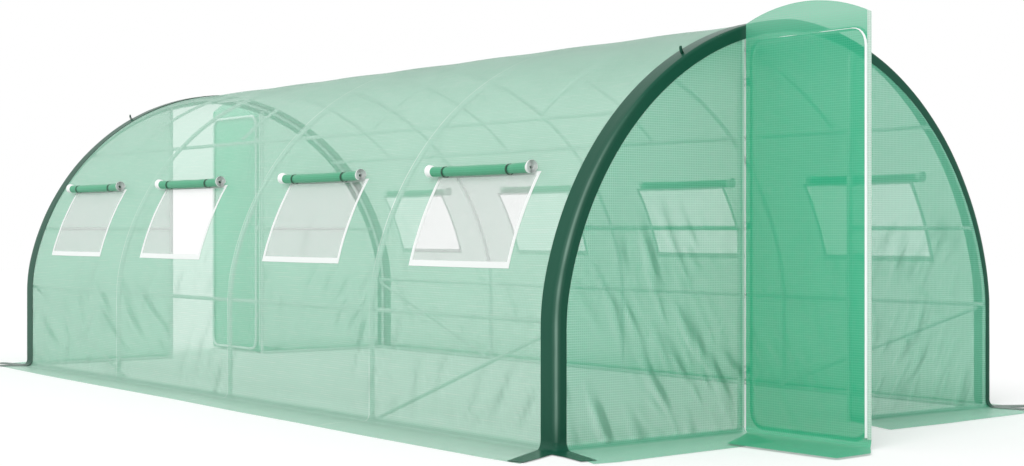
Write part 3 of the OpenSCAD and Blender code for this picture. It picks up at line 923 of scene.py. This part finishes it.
profile, widths = sleeve_profile()
for turn, label in ((1, "front"), (-1, "back")):
    def sleeve_place(c, v):
        """Point of a sleeve: c counts across it and v runs over the arch, with the tails past its ends."""
        out, back = profile[int(c)]
        across = widths[int(c)]
        if 0 <= v <= 2 * GIRTH:
            a, side = min(v, 2 * GIRTH - v), -1 if v < GIRTH else 1
        else:
            a, side = 0.0, -1 if v < 0 else 1
        a = max(a, FOOT_H)
        puff = 0.0018 * (0.5 + 0.5 * noise.noise(Vector((v * 4.0, across * 20.0, turn * 8.0))))
        puff += 0.0010 * max(0.0, crease(v, across * 4, 60.0 + turn, 1.3))
        point, way = section(a, -out)
        if out < -CORNER_R:
            face = 0.045 + 0.010 * (way.z - side * way.x)
            out = -CORNER_R + (out + CORNER_R) * (face - CORNER_R) / (SLEEVE_FACE - CORNER_R)
            point, way = section(a, -out)
        # Painted highlight along the rounded corner, fading at the ground and over the top, kept as a mark
        # below 0.
        shine = math.exp(-((across - SHINE_AT) / SHINE_WIDE) ** 2)
        shine *= min(1.0, a / 0.15, max(0.0, (1.75 - a) / 0.9))
        shine *= 0.75 + 0.5 * noise.noise(Vector((a * 7.0, 2.0, turn)))
        middle = math.sin(math.pi * across / widths[-1])
        point = point + way * puff * middle
        y = -END + back - puff * middle * 0.6
        t = max(0.0, -v, v - 2 * GIRTH)
        if t > 0:
            share = across / widths[-1]
            aim_x = HALF + between([(at, spot[0]) for at, spot in TAILS], share)
            aim_y = -END - between([(at, spot[1]) for at, spot in TAILS], share)
            far = math.dist((point.x, y), (aim_x, aim_y)) * t
            bend = FOOT_H - math.sqrt(FOOT_H ** 2 - max(0.0, FOOT_H - far) ** 2)
            lift = 0.0058 + (bend if far < FOOT_H else 0.0) * 0.9
            point = Vector((point.x + (aim_x - point.x) * t, 0, lift))
            y = y + (aim_y - y) * t
        flat = (across, v if 0 <= v <= 2 * GIRTH else v * 0.3)
        return Vector((turn * side * point.x, turn * y, point.z)), flat, -shine * (t == 0)

    tails = [0.004, 0.012, 0.025, 0.045, 0.07, 0.10, 0.14, 0.2, 0.3, 0.42, 0.55, 0.7, 0.85, 1.0]
    arch = lines(FOOT_H, 2 * GIRTH - FOOT_H, 0.03)
    rows = [-t for t in reversed(tails)] + arch + [2 * GIRTH + t for t in tails]
    sleeve = sheet_mesh(f"{label}_arch_sleeve", list(range(len(profile))), rows, sleeve_place)
    close_sheet(sleeve, 0.0018, (0, turn * -2.7, 0.4))
    fitted(sleeve, dark_cloth, "dark_film", f"{label}_sleeve")


# ---------------------------------------------------------------- tie loops
# Short tabs of the same dark cloth as the sleeves, folded double. One is sewn into each sleeve,
# high on the left, and stands out from the arch.
TAB_HIGH = 0.036
TAB_TURN = math.radians(60)
tabs = []
for turn in (1, -1):
    out = Vector((-math.cos(TAB_TURN), 0, math.sin(TAB_TURN)))
    foot_at = Vector((-ROOF_X, 0, ROOF_Z)) + out * (ROOF_R + 0.004)
    across = Vector((-out.z, 0, out.x))

    def tab_place(u, v):
        """Point of a tab: u runs along the tunnel, and v up one side of the fold and down the other."""
        height = TAB_HIGH * math.sin(math.pi * v / 2)
        open_by = 0.0035 * math.cos(math.pi * v / 2) * (1 + 0.8 * math.sin(math.pi * v))
        point = foot_at + out * height + across * (open_by - 0.006 * (height / TAB_HIGH) ** 2)
        return Vector((point.x, -turn * (END - 0.031 - u), point.z)), (u, v * 0.04)

    tab = sheet_mesh("tab", [0, 0.003, 0.009, 0.012], [i / 10 for i in range(21)], tab_place)
    tabs.append(close_sheet(tab, 0.0016, (foot_at.x, -turn * (END - 0.037), foot_at.z + 0.01), 1.0))
loops = joined("tie_loop_tabs", *tabs)
fitted(loops, dark_cloth, "dark_film", "tie_loops")


# ---------------------------------------------------------------- door leaves
# A sheet of film on a tube frame, pinned to the post at one side of the doorway. The sheet rises
# in an arch above its frame, has a pale hem down its free edge and a flap that lies on the ground.
DOOR_GREEN = (0.012, 0.46, 0.235)
LEAF = (-0.004, 0.763)
LEAF_LOW = 0.0085
LEAF_OUT = 0.0105
LEAF_FOOT = 0.035
LEAF_FOLD = 0.0065
LEAF_HEM = 0.022
BEAD_R = 0.0062
BEAD_LOW = 0.050
BEAD_CORNER = 0.080
FLAP = ((0.060, 0.06), (0.262, 0.40), (0.90, 0.387), (0.884, 0.155), (0.81, 0.07))
TOP_R = 1.0
TOP_S = 0.36
leaf_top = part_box("front_door_sheet")[1].z
leaf_frame_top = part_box("front_door_frame")[1].z


def leaf_height(s):
    """Height of the arched top edge at s from the hinge."""
    return leaf_top - TOP_R + math.sqrt(TOP_R ** 2 - (s - TOP_S) ** 2)


def leaf_fold(s, z, seed):
    """Loose folds in the leaf, all on its outer side."""
    edge = min(1.0, (s - LEAF[0]) / 0.07, (LEAF[1] - s) / 0.07)
    pull = LEAF_FOLD * crease(s, z, seed, 0.7) * max(0.12, 1 - z / 1.3)
    return max(0.0, edge) * (pull + 0.0012 * (1 + noise.noise(Vector((s * 6, z * 2.5, seed)))))


def leaf_point(end, s, out, z):
    """From the leaf's own measures to the tunnel: s from the hinge, out from the leaf's middle."""
    return Vector((end * (hinge.x - out), end * (hinge.y - s), z))


joints = {j["name"]: j for j in frame["record"]["behaviour"]["joints"]}
hinge = Vector(joints["front_door_hinge"]["pos_m"])
# The door film has painted light above 1.88 m.
door_film = film("door_film", DOOR_GREEN, opacity=0.78, thread=(0.10, 0.50, 0.30), dash=(0.2, 0.6, 0.4),
                 dashes=0.10, woven_share=0.7, bump=0.28, crown=1.88)
edge_film = film("edge_film", (0.60, 0.78, 0.68), opacity=0.86, thread=(0.66, 0.84, 0.75),
                 dash=(0.7, 0.85, 0.8), dashes=0.1)
bead_white = metal("white_bead", (0.95, 0.96, 0.96), (0.90, 0.92, 0.92), metallic=0.0, roughness=0.3,
                   scale=12.0)
for end, label in ((1, "front"), (-1, "back")):
    seed = 70.0 + 5 * end

    def leaf_place(s, v):
        """Point of the leaf's sheet, and of its ground flap where v is below 0."""
        if v >= 0:
            low = LEAF_LOW + LEAF_FOOT
            z = low + (leaf_height(s) - low) * v
            # Painted shade and highlight on the leaf's folds, weaker higher up.
            mark = fold_shading(s, z, seed, 0.7) * max(0.1, 1 - z / 1.3) * 0.3
            return leaf_point(end, s, LEAF_OUT + FILM + leaf_fold(s, z, seed), z), (s, z), mark
        t = -v
        share = (s - LEAF[0]) / (LEAF[1] - LEAF[0])
        far_s, far_out = along(FLAP, share)
        away = (far_out - LEAF_OUT) * t
        lift = LEAF_FOOT - math.sqrt(LEAF_FOOT ** 2 - (LEAF_FOOT - away) ** 2) if away < LEAF_FOOT else 0.0
        wave = 0.5 + 0.5 * noise.noise(Vector((s * 4.0, away * 9.0, seed)))
        lift += 0.007 * wave * min(1.0, away / 0.08) * min(1.0, (1 - t) * 5)
        fold = leaf_fold(s, LEAF_LOW + LEAF_FOOT, seed) * (1 - t) ** 6
        spot = s + (far_s - s) * t ** 1.25
        point = leaf_point(end, spot, LEAF_OUT + FILM + max(away, fold), LEAF_LOW + FILM + lift)
        return point, (spot, -away)

    rows = sorted({*[-t for t in skirt_steps], *[i / 110 for i in range(111)]})
    leaf = sheet_mesh(f"{label}_leaf_film", lines(*LEAF, 0.016), rows, leaf_place)
    close_sheet(leaf, FILM, (end * hinge.x, end * (hinge.y - 0.4), 1.0))
    body = f"{label}_door"
    fitted(leaf, door_film, "door_film", f"{label}_door_sheet", body=body)

    def edge_hem(u, v):
        """Point of the pale hem down the leaf's free edge."""
        low = LEAF_LOW + LEAF_FOOT
        s = LEAF[1] - LEAF_HEM * (1 - u) + 0.0008
        on = min(s, LEAF[1])
        z = low + (leaf_height(on) - low) * v
        return leaf_point(end, s, LEAF_OUT + FILM * 2 + 0.0014 + leaf_fold(on, z, seed), z), (s, z)

    strip = sheet_mesh(f"{label}_leaf_hem", [0, 0.15, 0.5, 0.85, 1], [i / 64 for i in range(65)], edge_hem)
    close_sheet(strip, HEM, (end * hinge.x, end * (hinge.y - 0.4), 1.0))
    fitted(strip, edge_film, "door_film", body=body)

    # The white bead clips the sheet to the free stile and runs round the top corner.
    stile = LEAF[1] - 0.027
    high_z = leaf_frame_top - 0.010
    bend_s, bend_z = stile - BEAD_CORNER, high_z - BEAD_CORNER
    run = [(stile, BEAD_LOW), (stile, (BEAD_LOW + high_z) / 2), (stile, bend_z)]
    for turn in [math.radians(a) for a in (15, 30, 45, 60, 75, 90)]:
        run.append((bend_s + BEAD_CORNER * math.cos(turn), bend_z + BEAD_CORNER * math.sin(turn)))
    run += [(bend_s - d, high_z) for d in (0.02, 0.06, 0.30, LEAF[1] - 0.19)]
    thick = [1.0] * 4 + [0.85, 0.7, 0.55, 0.42, 0.34] + [0.26] * 4
    line = bpy.data.curves.new("bead", "CURVE")
    line.dimensions = "3D"
    line.bevel_depth = BEAD_R
    line.bevel_resolution = 3
    line.use_fill_caps = True
    spline = line.splines.new("POLY")
    spline.points.add(len(run) - 1)
    for knot, (s_at, z_at), share in zip(spline.points, run, thick):
        knot.co = (*leaf_point(end, s_at, LEAF_OUT + BEAD_R * share, z_at), 1)
        knot.radius = share
    bead = bpy.data.objects.new(f"{label}_leaf_bead", line)
    scene.collection.objects.link(bead)
    only(bead)
    bpy.ops.object.convert(target="MESH")
    bpy.ops.object.shade_smooth_by_angle(angle=math.radians(40))
    fitted(bead, bead_white, "door_tube", body=body)
